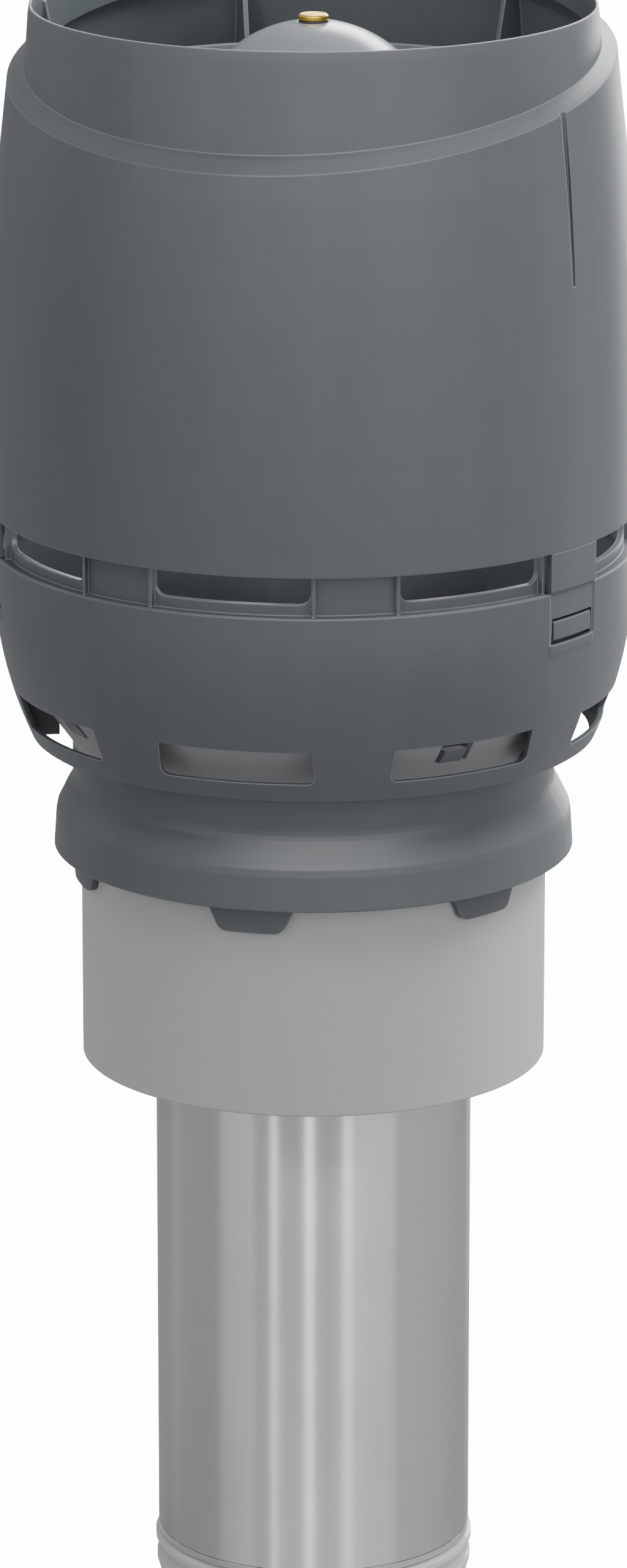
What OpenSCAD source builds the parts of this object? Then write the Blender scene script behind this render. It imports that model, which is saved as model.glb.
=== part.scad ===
// Roof vent pipe: an insulated steel exhaust duct that ends in a tall open hood above the roof.
// The hood lifts off the louvred bowl under it, and a domed rain cap stands in the hood's mouth.
// Millimetres. +Z is up, the origin is the centre of the duct's lower end, and the front is -Y.
// The duct's upper end sets the height of the collar, the collar that of the bowl, and so on up to the
// hood's rim. The nozzle and the dome hang from the rim's height.

/* [Duct] */
// Outer radius of the steel duct
duct_r = 80; // [77:0.5:81]
// Sheet thickness of the duct
duct_wall = 1; // [0.6:0.1:1.4]
// Height of the joint between duct and spigot
seam_z = 41.6; // [40:0.2:60]
// Length of the duct above that joint
duct_h = 558.4; // [500:0.2:700]
// How far the duct reaches above the roof collar
duct_reach = 141; // [130:1:150]
// How far the spigot reaches up inside the duct
spigot_overlap = 22; // [12:1:40]
// Sheet thickness of the spigot
spigot_wall = 1.2; // [0.8:0.1:1.6]
// Height of the spigot's stop collar under the duct
stop_h = 3.3; // [2:0.1:5]

/* [Lip seal] */
// Height where the lip seal starts above the spigot's end
seal_z = 14; // [10:0.5:16]
// Thickness of the seal's sleeve on the spigot
seal_t = 0.9; // [0.6:0.1:1.4]
// Depth of the spigot's groove under the seal
seal_groove = 0.4; // [0.2:0.05:0.5]
// Height of one lip
lip_h = 9; // [6:0.5:10]
// How far the upper lip stands out of the spigot
lip_out = 2.6; // [1.6:0.1:3.4]
// Height between the two lips
lip_gap = 3; // [2:0.5:4]

/* [Insulation jacket] */
// Outer radius of the jacket
jacket_r = 117; // [106:0.5:128]
// Wall of the jacket
jacket_wall = 2.2; // [1.6:0.1:3]
// Length of the jacket
jacket_h = 154.2; // [110:0.2:210]
// Gap between the jacket and the plate that closes the collar
jacket_top_gap = 4; // [1:0.5:8]
// Thickness of the ring that closes the jacket's lower end
end_ring_t = 3; // [2:0.1:5]
// How far the end ring sits inside the jacket's lower edge
end_ring_inset = 1.5; // [0.5:0.1:4]

/* [Roof collar] */
// Wall of the collar's neck
neck_wall = 3.7; // [3.2:0.1:5]
// Height of the neck above the flare
neck_h = 17.5; // [15:0.5:21]
// Thickness of the plate that closes the neck's top
neck_plate_t = 5; // [3:0.5:6]
// Height from the neck's top to the flange's upper edge
flange_drop = 32; // [30:0.5:36]
// How far the flange's upper edge stands out of the neck
flange_out = 8; // [7:0.1:12]
// How much the flange widens down to its lower edge
flange_flare = 1.6; // [0.8:0.1:4]
// Height of the flange's skirt
flange_h = 22.3; // [17:0.1:30]
// Wall of the flange's skirt
flange_wall = 3; // [2:0.1:3.2]
// Height of the rubber ring in the collar
collar_seal_h = 5; // [3:0.5:6]
// Number of tabs under the flange
tab_count = 6; // [4:1:8]
// Width of a tab at the flange
tab_w = 45; // [36:1:50]
// Width of the flat stretch of a tab's lower edge
tab_low_w = 24; // [18:0.5:28]
// How far a tab hangs below the flange
tab_drop = 14.2; // [8:0.2:20]
// Thickness of a tab
tab_t = 3; // [2:0.1:3.4]

/* [Bowl] */
// Height of the bowl's lower edge above the collar
bowl_lift = 4; // [3.6:0.1:5]
// Height of the bowl from its lower edge to its rim
bowl_h = 97; // [88:0.5:106]
// How far the bowl's rim stands inside the hood's widest line
rim_step = 1.1; // [0.8:0.1:1.6]
// Height of the straight band under the bowl's rim
bowl_band_h = 12; // [11:0.5:13]
// Radius of the curve of the bowl's side
bowl_curve_r = 200; // [190:1:220]
// Wall of the bowl
bowl_wall = 3; // [2.6:0.1:3.2]
// How far the upright ring stands inside the bowl's rim
ring_inset = 5.4; // [5.1:0.1:6]
// Height of the upright ring above the rim
ring_h = 52; // [48:0.5:56]
// Width of the post that is left on each side of a latch's notch
post_side_w = 2.3; // [2:0.1:3]
// Height of the upper windows' lower edge above the rim
upper_sill = 5.5; // [4:0.5:8]
// Height of an upper window
upper_h = 34.5; // [28:0.5:38]
// Corner radius of the windows
window_corner = 6; // [3:0.5:8]
// Width of a lower window
lower_w = 77; // [68:0.5:80]
// Height of the lower windows' lower edge above the bowl's lower edge
lower_sill = 10.8; // [9:0.2:12]
// Height of a lower window
lower_h = 17.4; // [15:0.2:18.6]
// Thickness of a post's rib
post_rib_t = 1.6; // [1:0.1:2.4]

/* [Drain funnel and cone] */
// Wall of the funnel
funnel_wall = 2.5; // [2:0.1:3]
// Height of the funnel's rim above the bowl's lower edge
funnel_h = 34; // [33:0.5:37]
// Width of a drain slot in the funnel
slot_w = 18; // [12:1:24]
// Height of a drain slot's lower edge above the bowl's lower edge
slot_sill = 14; // [13:0.5:16]
// Height of a drain slot
slot_h = 12; // [10:0.5:13]
// Radius of the weep holes just outside the collar's neck
weep_r = 2.5; // [1.5:0.1:3]
// Width of the rubber ring between duct and sleeve
duct_seal_w = 2.5; // [2:0.1:4]
// Height of that rubber ring
duct_seal_h = 14; // [10:1:20]
// How far the sleeve rises above the duct
sleeve_rise = 40; // [34:1:46]
// How far below the duct's end the cone meets the sleeve
cone_drop = 40; // [34:1:60]
// Wall of the cone and its sleeve
cone_wall = 2.5; // [2:0.1:2.8]

/* [Nozzle and bridge] */
// Outer radius of the nozzle's mouth
nozzle_mouth_r = 60; // [52:0.5:66]
// Height of the nozzle's mouth below the dome's lower edge
nozzle_gap = 26; // [20:0.5:32]
// Wall of the nozzle
nozzle_wall = 2.5; // [2:0.1:3]
// Radius of the bridge's hub
hub_r = 13; // [11:0.5:16]
// Thickness of the bridge
bridge_t = 4; // [3:0.5:5]
// Width of a bridge arm
arm_w = 12; // [10:0.5:14]
// Radius of the stud
stud_r = 4; // [3:0.5:4]
// How far the stud reaches below the bridge's hub
stud_tail = 12; // [10:0.5:16]

/* [Dome] */
// Radius of the dome
dome_r = 63; // [57:0.5:69]
// How far the dome's crown lies below the hood's rim
dome_set = 8.6; // [6:0.2:12]
// Height of the dome
dome_h = 73.4; // [66:0.2:80]
// Wall of the dome
dome_wall = 2.5; // [2:0.1:3]
// Radius of the brass nut's head
nut_head_r = 7.4; // [7:0.1:9]
// Thickness of the brass nut's head
nut_head_t = 2.9; // [2.4:0.1:4]
// Radius of the brass nut's barrel
nut_barrel_r = 5.9; // [5.4:0.1:6.2]

/* [Hood] */
// Outer radius of the hood where it bulges most
hood_r = 161; // [150:0.1:178]
// Height of the widest line above the hood's lower edge
bulge_rise = 30; // [20:1:40]
// Radius of the curve of the hood's side
hood_curve_r = 1665; // [1500:5:1900]
// Gap between the bowl's rim and the hood's lower edge
hood_gap = 20; // [18:0.5:22]
// Height of the hood
hood_h = 250; // [230:0.5:280]
// Wall of the hood
hood_wall = 3; // [2.6:0.1:3.2]
// How far the rim stands inside the hood's widest line
rim_inset = 21.1; // [19:0.1:24]
// Wall of the hood at the rim
rim_wall = 1.2; // [1:0.1:2]
// How much the collar under the rim widens down to its foot
collar_taper = 3.7; // [2:0.1:5]
// Tilt of the shoulder, lowest at the front
shoulder_tilt = 9.5; // [7:0.5:10]
// How far the shoulder lies below the rim, on the axis
shoulder_drop = 26.6; // [25:0.2:30]
// How far the shoulder's middle edge stands out of the rim
shoulder_out = 7.9; // [6:0.1:9]
// Thickness of a rib inside the hood
rib_t = 2.5; // [1.5:0.1:3]
// How far the baffle ring stands inside the rim
baffle_inset = 10.9; // [9:0.1:14]
// Wall of the baffle ring
baffle_wall = 2; // [1.5:0.1:3]
// How far the baffle ring's upper edge lies below the rim
baffle_drop = 41; // [38:0.5:50]
// Height of the baffle ring
baffle_h = 87; // [75:0.5:95]

/* [Latches] */
// Width of a latch tongue
tongue_w = 36.6; // [32:0.2:37]
// How far a tongue reaches below the bowl's rim
tongue_drop = 29; // [28:0.5:31]
// How far the tongue's blade stands inside the bowl's rim
blade_inset = 4.3; // [4.1:0.1:4.8]
// Thickness of the tongue's lower blade
blade_t = 2.4; // [2:0.1:2.6]
// How much narrower the catch window is than the tongue
catch_trim = 3.6; // [3:0.2:6]
// How far the catch window's lower edge lies below the bowl's rim
catch_drop = 26; // [25:0.2:27]
// Height of the catch window
catch_h = 13; // [11:0.2:14]
// How far the grooves above the latches start below the rim
groove_drop = 34; // [30:0.5:40]
// Length of a groove
groove_h = 88; // [60:1:110]
// Width of a groove at its top
groove_w = 4.4; // [2:0.1:6]
// Depth of a groove
groove_depth = 1.3; // [0.6:0.1:1.8]

/* [Fits] */
// Radial gap between two pieces that are seated on each other
seat_gap = 0.3; // [0.2:0.05:0.3]
// Radial gap between the spigot's free end and the duct that it plugs into
slip_gap = 0.08; // [0.05:0.01:0.1]
// Radial gap between the stud and what turns or slides on it
stud_gap = 0.08; // [0.05:0.01:0.1]
// Flat gap between the hood and a latch tongue
hinge_gap = 0.1; // [0.05:0.05:0.2]

/* [Hidden] */
$fn = 180;
bite = 1;
far = 400;
edge = 0.6;
thread_gap = 0.05;
clear_gap = 0.3;
slate = [0.33, 0.36, 0.38];

window_count = 8;
window_step = 360 / window_count;
window_angles = [for (i = [0 : window_count - 1]) i * window_step];
post_angles = [for (angle = window_angles) angle + window_step / 2];
clip_angles = [45, -45, 135, -135];
latch_angles = [67.5, -67.5, 157.5, -157.5];
rib_count = 6;
rib_angles = [for (i = [0 : rib_count - 1]) (i + 0.5) * 360 / rib_count];
cone_screw_angles = [0, 60, 120, 180, 240, 300];
arm_angles = [60, 180, 300];

duct_top = seam_z + duct_h;
spigot_r = duct_r - duct_wall - slip_gap;
sleeve_out_r = duct_r - duct_wall - seat_gap;
seal_groove_r = spigot_r - seal_groove;
stop_top = seam_z - seat_gap;
seal_top = stop_top - stop_h;
lead_in_h = 3;
lip_low_z = seal_z + 2;
lip_high_z = lip_low_z + lip_h + lip_gap;

neck_top = duct_top - duct_reach;
neck_plate_z = neck_top - neck_plate_t;
jacket_top = neck_plate_z - jacket_top_gap;
jacket_bottom = jacket_top - jacket_h;
core_r = jacket_r - jacket_wall - seat_gap;
core_hole_r = duct_r + seat_gap;
end_ring_z = jacket_bottom + end_ring_inset;

collar_bore_r = jacket_r + seat_gap;
neck_r = collar_bore_r + neck_wall;
flare_top = neck_top - neck_h;
flange_top_r = neck_r + flange_out;
flange_top_z = neck_top - flange_drop;
flange_low_r = flange_top_r + flange_flare;
flange_low_z = flange_top_z - flange_h;
flange_in_z = flange_top_z - 6;
collar_seal_z = flange_top_z + 5;
collar_seal_r = neck_r - 1.6;
tab_ring_r = flange_top_r - flange_wall - seat_gap;
tab_ring_in_r = jacket_r + 2 * seat_gap;
tab_ring_h = 9;
tab_corner = 6;
tab_lean = 20;

bowl_r = hood_r - rim_step;
bowl_low_z = neck_top + bowl_lift;
bowl_rim_z = bowl_low_z + bowl_h;
bowl_curve_z = bowl_rim_z - bowl_band_h;
ring_r = bowl_r - ring_inset;
ring_wall = 3;
ring_top = bowl_rim_z + ring_h;
ledge_t = 4;
notch_gap = 0.8;
post_half_w = tongue_w / 2 + notch_gap + post_side_w;
post_rib_y = post_half_w - post_rib_t / 2 - 0.1;
upper_w = 2 * ring_r * sin(window_step / 2 - asin(post_half_w / ring_r));
upper_low_z = bowl_rim_z + upper_sill;
upper_top_z = upper_low_z + upper_h;
lower_low_z = bowl_low_z + lower_sill;
lower_top_z = lower_low_z + lower_h;
post_rib_top = ring_top - 4;

funnel_rim_z = bowl_low_z + funnel_h;
funnel_rim_h = 3;
funnel_rim_r = bowl_side(funnel_rim_z - 4) - bowl_wall - seat_gap;
funnel_rim_w = 3.5;
web_t = 3;
web_in_r = neck_r + 7;
web_foot = 1.5;
hang_ledge_t = 3;
hang_ledge_w = 5;
slot_low_z = bowl_low_z + slot_sill;
slot_top_z = slot_low_z + slot_h;
base_plate_t = 2.5;
base_plate_z = neck_top;
cone_plate_z = base_plate_z + base_plate_t;
funnel_lean = (funnel_rim_r - funnel_rim_w - neck_r) / (funnel_rim_z - funnel_rim_h - cone_plate_z);

sleeve_in_r = duct_r + duct_seal_w;
sleeve_r = sleeve_in_r + cone_wall;
sleeve_top = duct_top + sleeve_rise;
cone_top = duct_top - cone_drop;
cone_plate_r = neck_r - 9;
cone_toe_r = cone_plate_r - 6;
cone_shoulder_r = sleeve_r + 11;
plate_hole_r = sleeve_r + 3;
cone_screw_ring_r = (plate_hole_r + cone_plate_r) / 2;
cone_screw_r = 2;
screw_head_r = 4;
screw_head_h = 2.6;
duct_seal_z = duct_top - 12 - duct_seal_h;

socket_h = 16;
socket_r = sleeve_r + seat_gap + nozzle_wall;
bridge_seat_t = 3;
bridge_z = sleeve_top + bridge_seat_t;
bridge_ring_r = sleeve_r - nozzle_wall - seat_gap;
bridge_ring_w = 7;
bridge_screw_r = 1.5;
bridge_head_r = 2.8;
bridge_head_h = 2;
hub_top = bridge_z + bridge_t;
stud_nut_h = 6.5;
stud_nut_flats = 13;
washer_t = 1.6;
washer_r = 8;

hood_low_z = bowl_rim_z + hood_gap;
hood_bulge_z = hood_low_z + bulge_rise;
rim_z = hood_low_z + hood_h;
rim_r = hood_r - rim_inset;
rim_band_h = 4.5;
shoulder_z = rim_z - shoulder_drop;
shoulder_r = rim_r + shoulder_out;
collar_foot_z = shoulder_z - shoulder_r * tan(shoulder_tilt) - 2.7;
collar_foot_r = rim_r + collar_taper;
hood_curve_top = collar_foot_z - 16;
shoulder_slope = 0.62;
inner_facet_slope = 0.457;
inner_facet_w = 30;
baffle_r = rim_r - baffle_inset;
baffle_top_z = rim_z - baffle_drop;
baffle_low_z = baffle_top_z - baffle_h;
baffle_seat_w = 2.5;
rib_foot_r = ring_r - ring_wall + 0.2;
post_rib_r = hood_skirt_in_r() - seat_gap;
groove_top_z = rim_z - groove_drop;
groove_tilt = atan((hood_side(groove_top_z - groove_h) - hood_side(groove_top_z)) / groove_h);

dome_top = rim_z - dome_set;
dome_low_z = dome_top - dome_h;
dome_centre_z = dome_top - dome_r;
nozzle_top = dome_low_z - nozzle_gap;
dome_hole_r = nut_barrel_r + seat_gap;
boss_r = 10.5;
pad_z = dome_top - 0.6;
nut_barrel_h = 9.6;
nut_head_z = dome_top + 0.3;
boss_low_z = nut_head_z - nut_barrel_h - 0.5;
tube_low_z = hub_top + washer_t + stud_nut_h;
tube_r = 9;

blade_r = bowl_r - blade_inset;
tooth_r = bowl_r - edge;
tongue_low_z = bowl_rim_z - tongue_drop;
tongue_top_z = hood_low_z - hinge_gap;
catch_w = tongue_w - catch_trim;
tongue_recess = 0.6;
catch_low_z = bowl_rim_z - catch_drop;
catch_top_z = catch_low_z + catch_h;

// Radius of the hood's outer side at height z
function hood_side(z) = hood_r - (z - hood_bulge_z) * (z - hood_bulge_z) / (2 * hood_curve_r);

// Inner radius of the hood's skirt at its lower edge
function hood_skirt_in_r() = hood_side(hood_low_z) - hood_wall;

// Outer radius of the bowl's side at height z
function bowl_side(z) = z > bowl_curve_z ? bowl_r
    : bowl_r - bowl_curve_r + sqrt(bowl_curve_r * bowl_curve_r - (z - bowl_curve_z) * (z - bowl_curve_z));

// Points along a side curve from height z_low to z_high, moved in by inset
function bowl_points(z_low, z_high, inset, steps) =
    [for (i = [0 : steps]) let (z = z_low + (z_high - z_low) * i / steps) [bowl_side(z) - inset, z]];
function hood_points(z_low, z_high, inset, steps) =
    [for (i = [0 : steps]) let (z = z_low + (z_high - z_low) * i / steps) [hood_side(z) - inset, z]];

// Points of list from its last to its first
function backwards(points) = [for (i = [len(points) - 1 : -1 : 0]) points[i]];

// A full turned ring with the given section
module turned(points) {
    rotate_extrude() polygon(points);
}

// A plain ring between two radii and two heights
module band(r_in, r_out, z_low, z_high) {
    turned([[r_in, z_low], [r_out, z_low], [r_out, z_high], [r_in, z_high]]);
}

// Turns what is drawn along +X to the given angle from the front, towards +X
module facing(angle) {
    rotate([0, 0, angle - 90]) children();
}

// A block that stands out along +X, centred on Y
module radial_block(r_in, r_out, width, z_low, z_high) {
    translate([r_in, -width / 2, z_low]) cube([r_out - r_in, width, z_high - z_low]);
}

// A window's outline with round lower corners, drawn upright
module window_outline(width, height, corner) {
    translate([-width / 2, corner]) square([width, height - corner]);
    translate([-width / 2 + corner, 0]) square([width - 2 * corner, height]);
    for (side = [-1, 1])
        translate([side * (width / 2 - corner), corner]) circle(corner, $fn = 48);
}

// Cuts a window through whatever lies between two radii
module window_cutter(width, z_low, z_high, corner, r_in, r_out) {
    translate([r_in, 0, z_low])
        rotate([90, 0, 90])
            linear_extrude(r_out - r_in) window_outline(width, z_high - z_low, corner);
}

// Steel sheet duct, with a slim lead-in at its upper end
module duct_pipe() {
    color([0.72, 0.72, 0.73])
        turned([[duct_r - duct_wall, seam_z], [duct_r, seam_z], [duct_r, duct_top - 2],
                [duct_r - duct_wall / 2, duct_top], [duct_r - duct_wall, duct_top]]);
}

// Male end that plugs into the next duct: sleeve, stop collar and a slim lead-in
module spigot_end() {
    in_r = sleeve_out_r - spigot_wall;
    groove_low = seal_z - thread_gap;
    sleeve_end = seam_z + spigot_overlap;
    color([0.62, 0.62, 0.64])
        turned([[in_r, 0], [spigot_r - edge, 0], [spigot_r, lead_in_h], [spigot_r, groove_low],
                [seal_groove_r, groove_low], [seal_groove_r, seal_top], [duct_r, seal_top],
                [duct_r, stop_top], [sleeve_out_r, stop_top],
                [sleeve_out_r, sleeve_end], [in_r, sleeve_end]]);
}

// Rubber seal with two lips that press against the next duct's wall
module lip_seal() {
    seat_r = seal_groove_r + thread_gap;
    body_r = seat_r + seal_t;
    lip_high_r = spigot_r + lip_out;
    lip_low_r = lip_high_r - edge;
    color([0.55, 0.56, 0.57])
        turned([[seat_r, seal_z], [body_r - edge / 2, seal_z], [body_r, lip_low_z],
                [lip_low_r, lip_low_z + lip_h * 0.5], [lip_low_r, lip_low_z + lip_h * 0.8],
                [body_r, lip_low_z + lip_h], [body_r, lip_high_z], [lip_high_r, lip_high_z + lip_h * 0.5],
                [lip_high_r, lip_high_z + lip_h * 0.8], [body_r, lip_high_z + lip_h],
                [body_r, seal_top], [seat_r, seal_top]]);
}

// Plain plastic sleeve round the insulation
module jacket_shell() {
    in_r = jacket_r - jacket_wall;
    color([0.64, 0.64, 0.64])
        turned([[in_r, jacket_bottom + 1], [in_r + 0.8, jacket_bottom], [jacket_r - 0.6, jacket_bottom],
                [jacket_r, jacket_bottom + 0.6], [jacket_r, jacket_top], [in_r, jacket_top]]);
}

// Ring that closes the insulation at the jacket's lower end
module jacket_end_ring() {
    color([0.5, 0.5, 0.5])
        band(core_hole_r, core_r, end_ring_z, end_ring_z + end_ring_t);
}

// Foam between duct and jacket
module insulation_core() {
    color([0.85, 0.83, 0.75])
        band(core_hole_r, core_r, end_ring_z + end_ring_t, neck_plate_z - seat_gap);
}

// Collar that sits on the roof's pass-through: neck, flared flange and skirt in one piece
module roof_collar() {
    skirt_in_top = flange_top_r - flange_wall;
    skirt_in_low = flange_low_r - flange_wall;
    color(slate) difference() {
        turned([[collar_bore_r, flange_in_z], [skirt_in_top, flange_in_z],
                [skirt_in_low, flange_low_z], [flange_low_r - edge, flange_low_z],
                [flange_low_r, flange_low_z + edge], [flange_top_r + 0.5, flange_top_z - 5],
                [flange_top_r - 0.2, flange_top_z - 1.4], [flange_top_r - 1.4, flange_top_z + 0.9],
                [neck_r + 3.4, flare_top - 7], [neck_r + 1, flare_top - 3.2],
                [neck_r + 0.25, flare_top - 0.8], [neck_r, flare_top + 1.6], [neck_r, neck_top],
                [plate_hole_r, neck_top], [plate_hole_r, neck_plate_z],
                [collar_bore_r, neck_plate_z]]);
        band(jacket_r - bite, collar_seal_r, collar_seal_z, collar_seal_z + collar_seal_h);
        for (angle = cone_screw_angles)
            facing(angle)
                translate([cone_screw_ring_r, 0, neck_plate_z - bite])
                    cylinder(r = cone_screw_r + thread_gap, h = neck_plate_t + 2 * bite, $fn = 32);
    }
}

// Rubber ring between collar and jacket
module collar_seal() {
    color([0.12, 0.12, 0.12])
        band(jacket_r + thread_gap, collar_seal_r - thread_gap, collar_seal_z + thread_gap,
             collar_seal_z + collar_seal_h - thread_gap);
}

// Outline of a tab, drawn upright, with round lower corners
function tab_outline(tab_top, tab_low) = concat(
    [[-tab_w / 2, tab_top], [-tab_w / 2, flange_low_z]],
    [for (i = [0 : 4]) let (turn = 180 + tab_lean + i * (90 - tab_lean) / 4)
        [-tab_low_w / 2 + tab_corner * cos(turn), tab_low + tab_corner * (1 + sin(turn))]],
    [for (i = [0 : 4]) let (turn = 270 + i * (90 - tab_lean) / 4)
        [tab_low_w / 2 + tab_corner * cos(turn), tab_low + tab_corner * (1 + sin(turn))]],
    [[tab_w / 2, flange_low_z], [tab_w / 2, tab_top]]);

// Clamping ring inside the flange, with tabs that hang below it against the jacket
module tab_ring() {
    ring_low = flange_in_z - tab_ring_h;
    tab_in_r = tab_ring_in_r + clear_gap;
    tab_low = flange_low_z - tab_drop;
    color(slate) {
        band(tab_ring_in_r, tab_ring_r, ring_low, flange_in_z);
        for (i = [0 : tab_count - 1])
            intersection() {
                band(tab_in_r, tab_in_r + tab_t, tab_low - bite, ring_low + bite);
                facing(i * 360 / tab_count)
                    translate([jacket_r - jacket_wall * 6, 0, 0])
                        rotate([90, 0, 90])
                            linear_extrude(jacket_wall * 12)
                                polygon(tab_outline(ring_low + 2 * bite, tab_low));
            }
    }
}

// Upright web between the bowl's wall and the funnel's underside, drawn along +X
module bowl_web() {
    low = bowl_low_z + web_foot;
    top = funnel_rim_z - funnel_rim_h - clear_gap;
    lean_top_r = funnel_rim_r - funnel_rim_w + clear_gap;
    lean_low_z = cone_plate_z + (web_in_r - neck_r) / funnel_lean - web_foot;
    rotate([90, 0, 0])
        linear_extrude(web_t, center = true)
            polygon(concat([[web_in_r, low]], bowl_points(low, top, bowl_wall / 2, 6),
                           [[lean_top_r, top], [web_in_r, lean_low_z]]));
}

// Louvred bowl: curved outer wall with drain windows, rim ledge, and the upright ring with its windows
module bowl() {
    ring_in_r = ring_r - ring_wall;
    hang_low = funnel_rim_z;
    hang_top = funnel_rim_z + hang_ledge_t;
    hang_r = bowl_side(hang_low) - bowl_wall - hang_ledge_w;
    outer = bowl_points(bowl_low_z + 1.2, bowl_curve_z, 0, 12);
    inner = bowl_points(bowl_low_z + 0.6, bowl_curve_z, bowl_wall, 12);
    color(slate) difference() {
        union() {
            turned(concat([[bowl_side(bowl_low_z) - bowl_wall + 0.6, bowl_low_z],
                           [bowl_side(bowl_low_z) - 1.2, bowl_low_z]],
                          outer,
                          [[bowl_r, bowl_rim_z - 0.7], [bowl_r - 0.7, bowl_rim_z], [ring_r, bowl_rim_z],
                           [ring_r, ring_top], [ring_in_r, ring_top], [ring_in_r, bowl_rim_z - ledge_t],
                           [bowl_r - bowl_wall, bowl_rim_z - ledge_t]],
                          backwards(inner)));
            turned([[hang_r, hang_low], [bowl_side(hang_low) - bowl_wall / 2, hang_low],
                    [bowl_side(hang_top) - bowl_wall / 2, hang_top], [hang_r, hang_top]]);
            intersection() {
                band(ring_r - ring_wall / 2, post_rib_r, bowl_rim_z - bite, post_rib_top);
                for (angle = post_angles)
                    facing(angle)
                        for (side = [-1, 1])
                            translate([0, side * post_rib_y, 0])
                                radial_block(ring_r - ring_wall, hood_r, post_rib_t,
                                             bowl_rim_z - 2 * bite, post_rib_top + bite);
            }
            for (angle = latch_angles)
                facing(angle) bowl_web();
            for (angle = latch_angles)
                facing(angle) intersection() {
                    turned([[bowl_r - 2, catch_low_z - 7], [bowl_side(catch_low_z - 7), catch_low_z - 7],
                            [bowl_side(catch_low_z - 4) + 0.6, catch_low_z - 4],
                            [bowl_side(catch_low_z) + 0.6, catch_low_z], [bowl_r - 2, catch_low_z]]);
                    radial_block(bowl_r - 6, bowl_r + 6, catch_w + 1, catch_low_z - 8, catch_low_z + 1);
                }
        }
        for (angle = window_angles)
            facing(angle) {
                window_cutter(upper_w, upper_low_z, upper_top_z, window_corner, ring_r - 20, ring_r + 10);
                window_cutter(lower_w, lower_low_z, lower_top_z, window_corner - 2, ring_r - 24, ring_r + 10);
            }
        for (angle = latch_angles)
            facing(angle) {
                intersection() {
                    band(ring_in_r - 5, bowl_r - bowl_wall, bowl_rim_z - ledge_t - bite, ring_top + bite);
                    radial_block(ring_in_r - 8, bowl_r, tongue_w + 2 * notch_gap,
                                 bowl_rim_z - ledge_t - bite, ring_top + bite);
                }
                radial_block(ring_r - 4, bowl_r + 8, catch_w, catch_low_z, catch_top_z);
                intersection() {
                    turned([[bowl_side(catch_low_z) - tongue_recess, catch_low_z],
                            [bowl_r + 2, catch_low_z], [bowl_r + 2, bowl_rim_z + bite],
                            [bowl_r - tongue_recess, bowl_rim_z + bite],
                            [bowl_r - tongue_recess, bowl_curve_z]]);
                    radial_block(bowl_r - 6, bowl_r + 6, tongue_w, catch_low_z, bowl_rim_z + bite);
                }
            }
    }
}

// Funnel that catches the rain inside the hood and leads it out through slots and weep holes
module drain_funnel() {
    rim_low = funnel_rim_z - funnel_rim_h;
    slope_r = funnel_rim_r - funnel_rim_w;
    plate_in_r = plate_hole_r + 4;
    color([0.42, 0.44, 0.45]) difference() {
        turned([[plate_in_r, base_plate_z], [neck_r, base_plate_z], [neck_r, cone_plate_z - edge],
                [slope_r, rim_low], [funnel_rim_r, rim_low], [funnel_rim_r, funnel_rim_z],
                [slope_r - funnel_wall, funnel_rim_z], [neck_r - funnel_wall, cone_plate_z],
                [plate_in_r, cone_plate_z]]);
        for (angle = clip_angles)
            facing(angle) radial_block(neck_r, funnel_rim_r + 4, slot_w, slot_low_z, slot_top_z);
        for (angle = post_angles)
            facing(angle)
                translate([neck_r + weep_r + edge, 0, base_plate_z])
                    cylinder(r = weep_r, h = slot_low_z - base_plate_z, $fn = 32);
        for (angle = cone_screw_angles)
            facing(angle)
                translate([cone_screw_ring_r, 0, base_plate_z - bite])
                    cylinder(r = cone_screw_r + clear_gap, h = base_plate_t + 2 * bite, $fn = 32);
    }
}

// Wedge clips that sit in the funnel's slots
module drain_clips() {
    wedge_w = slot_w - 6;
    wedge_h = 7.5;
    wedge_r = neck_r + (slot_low_z - cone_plate_z) * funnel_lean;
    color([0.36, 0.38, 0.4])
        for (angle = clip_angles)
            facing(angle)
                translate([wedge_r, 0, slot_low_z])
                    rotate([90, 0, 0])
                        linear_extrude(wedge_w, center = true)
                            polygon([[-3, 0], [0, 0], [funnel_lean * wedge_h + 0.6, wedge_h], [-0.4, wedge_h],
                                     [-4.4, 3]]);
}

// Rain cone and the sleeve round the duct's upper end
module rain_cone() {
    foot_z = cone_plate_z + base_plate_t;
    plate_in_r = plate_hole_r + 5;
    color([0.42, 0.44, 0.45]) difference() {
        turned([[plate_in_r, cone_plate_z], [cone_plate_r, cone_plate_z],
                [cone_plate_r, foot_z], [cone_toe_r, foot_z], [cone_shoulder_r, foot_z + 12],
                [sleeve_r, cone_top], [sleeve_r, sleeve_top], [sleeve_in_r, sleeve_top],
                [sleeve_in_r, duct_seal_z], [core_hole_r, duct_seal_z], [core_hole_r, duct_seal_z - 3],
                [sleeve_in_r, duct_seal_z - 3 - cone_wall], [sleeve_in_r, cone_top - bite],
                [cone_shoulder_r - cone_wall, foot_z + 11], [plate_in_r, foot_z]]);
        for (angle = cone_screw_angles)
            facing(angle)
                translate([cone_screw_ring_r, 0, cone_plate_z - bite]) {
                    cylinder(r = cone_screw_r + clear_gap, h = base_plate_t + 2 * bite, $fn = 32);
                    translate([0, 0, base_plate_t + bite])
                        cylinder(r = screw_head_r + clear_gap, h = 14, $fn = 48);
                }
    }
}

// Rubber ring between the duct's upper end and the sleeve
module duct_seal() {
    color([0.12, 0.12, 0.12])
        band(duct_r + thread_gap, sleeve_in_r - thread_gap, duct_seal_z, duct_seal_z + duct_seal_h);
}

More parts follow.
